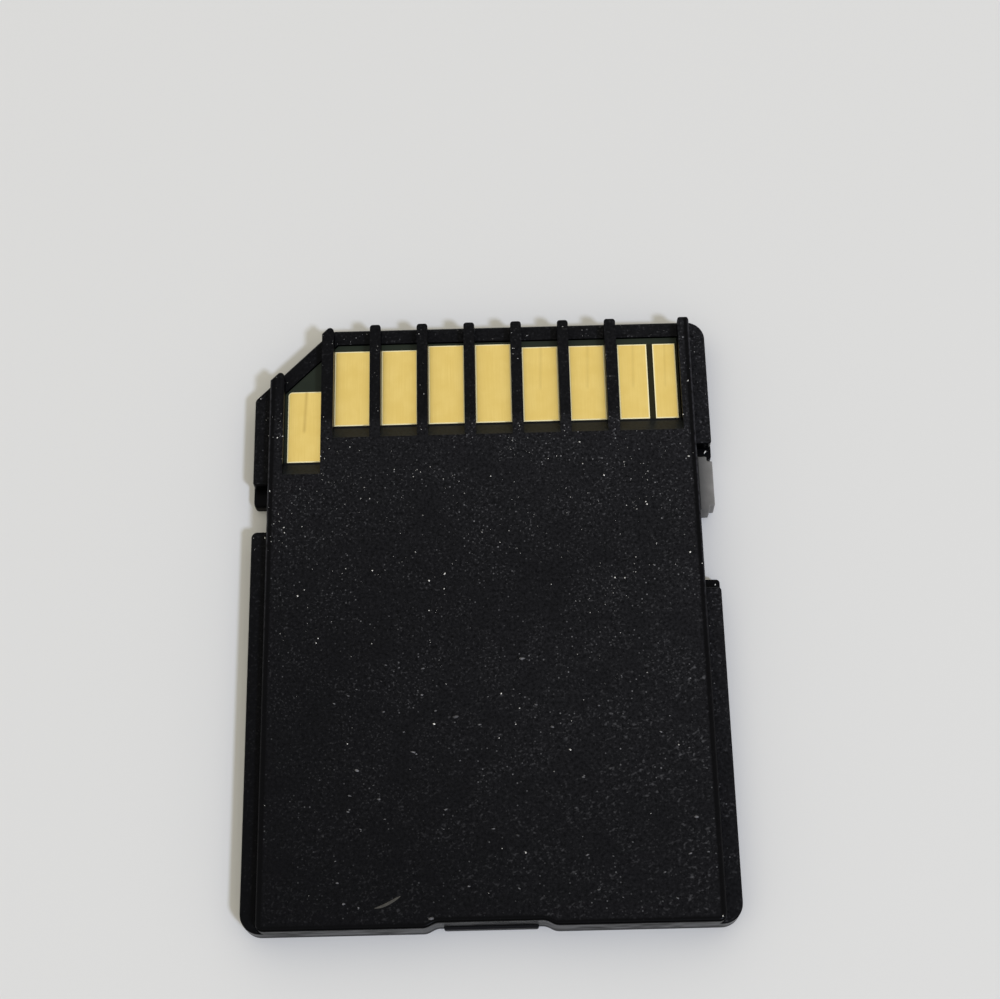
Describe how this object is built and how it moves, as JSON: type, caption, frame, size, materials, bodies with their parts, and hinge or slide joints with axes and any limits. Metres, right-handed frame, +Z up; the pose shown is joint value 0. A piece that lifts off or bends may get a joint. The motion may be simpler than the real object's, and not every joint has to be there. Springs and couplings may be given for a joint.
{
  "type": "memory card",
  "caption": "Flat full-size flash memory card in a two-part black shell, with gold contacts in ribbed windows, a cut corner, guide rails and a sliding write-protect lock.",
  "frame": {"origin": "centre of the flat underside (label side) on the resting surface", "axes": "+X across the card to the lock slider's side, +Y along the card to the contact edge, +Z up out of the contact side"},
  "size_m": [0.024, 0.032, 0.0021],
  "materials": {
    "back_cover_plastic": "fine spark-eroded moulded black plastic",
    "front_cover_plastic": "smooth moulded black plastic",
    "slider_plastic": "satin moulded grey plastic",
    "board_laminate": "dark green solder mask on glass-fibre board",
    "contact_gold": "gold-plated copper pad with fine wiping marks",
    "chip_moulding": "black epoxy moulding compound",
    "capacitor_ceramic": "tan ceramic with tinned ends",
    "resistor_ceramic": "dark glazed ceramic with tinned ends"
  },
  "bodies": {
    "card": {"back_cover": "back_cover_plastic", "front_cover": "front_cover_plastic", "circuit_board": "board_laminate", "contact_1": "contact_gold", "contact_2": "contact_gold", "contact_3": "contact_gold", "contact_4": "contact_gold", "contact_5": "contact_gold", "contact_6": "contact_gold", "contact_7": "contact_gold", "contact_8": "contact_gold", "contact_9": "contact_gold", "memory_chip": "chip_moulding", "controller_chip": "chip_moulding", "capacitor_1": "capacitor_ceramic", "capacitor_2": "capacitor_ceramic", "capacitor_3": "capacitor_ceramic", "capacitor_4": "capacitor_ceramic", "resistor_1": "resistor_ceramic", "resistor_2": "resistor_ceramic", "resistor_3": "resistor_ceramic", "resistor_4": "resistor_ceramic"},
    "slider": {"lock_slider": "slider_plastic"}
  },
  "joints": [
    {"name": "lock_slide", "type": "slide", "parent": "card", "child": "slider", "axis": [0, -1, 0], "range_m": [0, 0.00356]}
  ]
}
